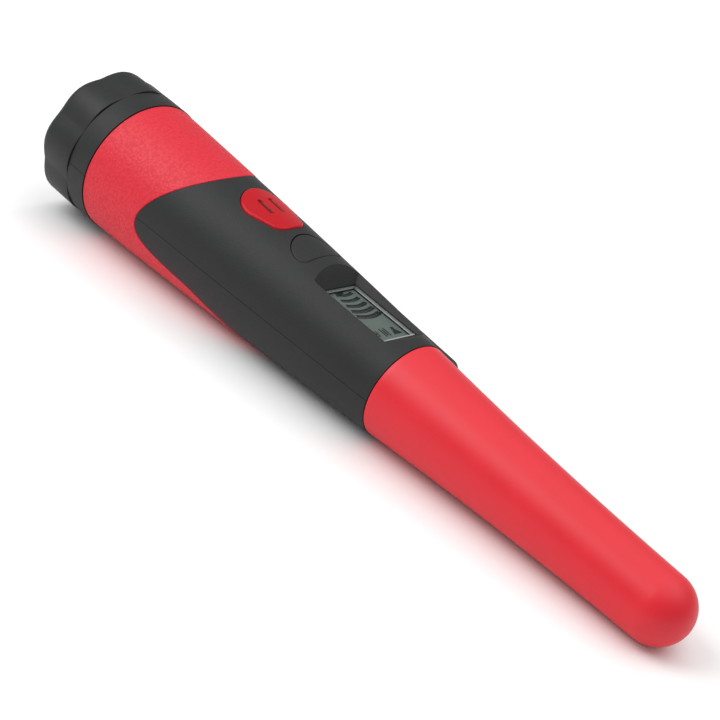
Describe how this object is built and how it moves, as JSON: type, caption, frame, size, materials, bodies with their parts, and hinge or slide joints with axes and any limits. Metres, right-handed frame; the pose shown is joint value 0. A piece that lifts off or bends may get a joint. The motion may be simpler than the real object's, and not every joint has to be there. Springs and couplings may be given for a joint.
{
  "type": "pinpointer probe",
  "caption": "Hand-held pinpointing metal detector with a red sensing nose, ribbed screw cap, two keys, a small display and a belt clip.",
  "frame": {"origin": "centre of the screw cap's flat rear face", "axes": "+X along the probe to the tip of the nose, +Z out through the keys and the display, +Y towards the belt clip"},
  "size_m": [0.24, 0.0473, 0.0434],
  "materials": {
    "cap_black": "fine-grained satin moulding",
    "seal_rubber": "smooth moulded rubber",
    "foam": "closed-cell foam",
    "tube_black": "moulded plastic",
    "battery_steel": "printed steel jacket, left plain",
    "cell_metal": "plated cell jackets",
    "bright_steel": "plated steel",
    "circuit_board": "green solder mask on glass laminate",
    "contact_brass": "plated spring brass",
    "lead_red": "insulated wire",
    "shell_black": "fine-grained satin moulding",
    "grip_red": "leather-grained soft moulding",
    "key_red": "satin soft key",
    "key_black": "satin moulding",
    "switch_black": "moulded switch body",
    "stem_white": "moulded plastic",
    "window_clear": "clear moulded cover plate",
    "display_grey": "display cell",
    "zebra_pink": "layered contact rubber",
    "chip_black": "moulded component bodies",
    "rotor_steel": "sintered weight and shaft",
    "nose_red": "smooth semi-matt moulding",
    "ferrite": "ground ferrite",
    "former_cream": "moulded coil former",
    "copper_wire": "enamelled copper wire",
    "clip_black": "satin moulding"
  },
  "bodies": {
    "housing": {"battery_tube": "tube_black", "battery_case": "battery_steel", "battery_cells": "cell_metal", "battery_terminals": "bright_steel", "contact_board": "circuit_board", "contact_springs": "contact_brass", "battery_leads": "lead_red", "upper_shell": "shell_black", "lower_shell": "shell_black", "grip_sleeve": "grip_red", "shell_screws": "bright_steel", "power_switch": "switch_black", "function_switch": "switch_black", "lcd_window": "window_clear", "lcd_glass": "display_grey", "backlight": "stem_white", "zebra_strips": "zebra_pink", "main_pcb": "circuit_board", "board_chips": "chip_black", "buzzer": "chip_black", "motor_can": "bright_steel", "nose_shell": "nose_red", "nose_seal": "seal_rubber", "ferrite_rod": "ferrite", "coil_former": "former_cream", "transmit_coil": "copper_wire", "receive_coils": "copper_wire", "rod_holder": "foam", "tip_cushion": "foam", "coil_leads": "copper_wire", "clip_base": "clip_black", "clip_pin": "bright_steel", "clip_spring": "bright_steel"},
    "cap_seal": {"cap_gasket": "seal_rubber", "battery_pad": "foam"},
    "cap": {"end_cap": "cap_black"},
    "power_key": {"power_key": "key_red", "power_stem": "stem_white"},
    "function_key": {"function_key": "key_black", "function_stem": "stem_white"},
    "clip": {"clip_lever": "clip_black"},
    "rotor": {"motor_rotor": "rotor_steel"}
  },
  "joints": [
    {"name": "cap_travel", "type": "slide", "parent": "housing", "child": "cap_seal", "axis": [-1, 0, 0], "range_m": [0, 0.0105]},
    {"name": "cap_turn", "type": "hinge", "parent": "cap_seal", "child": "cap", "pos_m": [0, 0, 0], "axis": [-1, 0, 0], "range_deg": [0, 1260]},
    {"name": "power_press", "type": "slide", "parent": "housing", "child": "power_key", "axis": [0, 0, -1], "range_m": [0, 0.0006], "stiffness_N_per_m": 1200},
    {"name": "function_press", "type": "slide", "parent": "housing", "child": "function_key", "axis": [0, 0, -1], "range_m": [0, 0.0006], "stiffness_N_per_m": 1200},
    {"name": "clip_open", "type": "hinge", "parent": "housing", "child": "clip", "pos_m": [0.0785, 0.0212, 0], "axis": [0, 0, 1], "range_deg": [0, 12], "stiffness_Nm_per_rad": 0.15, "springref_deg": -11.46},
    {"name": "motor_spin", "type": "hinge", "parent": "housing", "child": "rotor", "pos_m": [0.086, 0, -0.008], "axis": [1, 0, 0], "continuous": true}
  ],
  "couplings": [
    {"joint": "cap_travel", "follows": "cap_turn", "m_per_rad": 0.00047746}
  ]
}
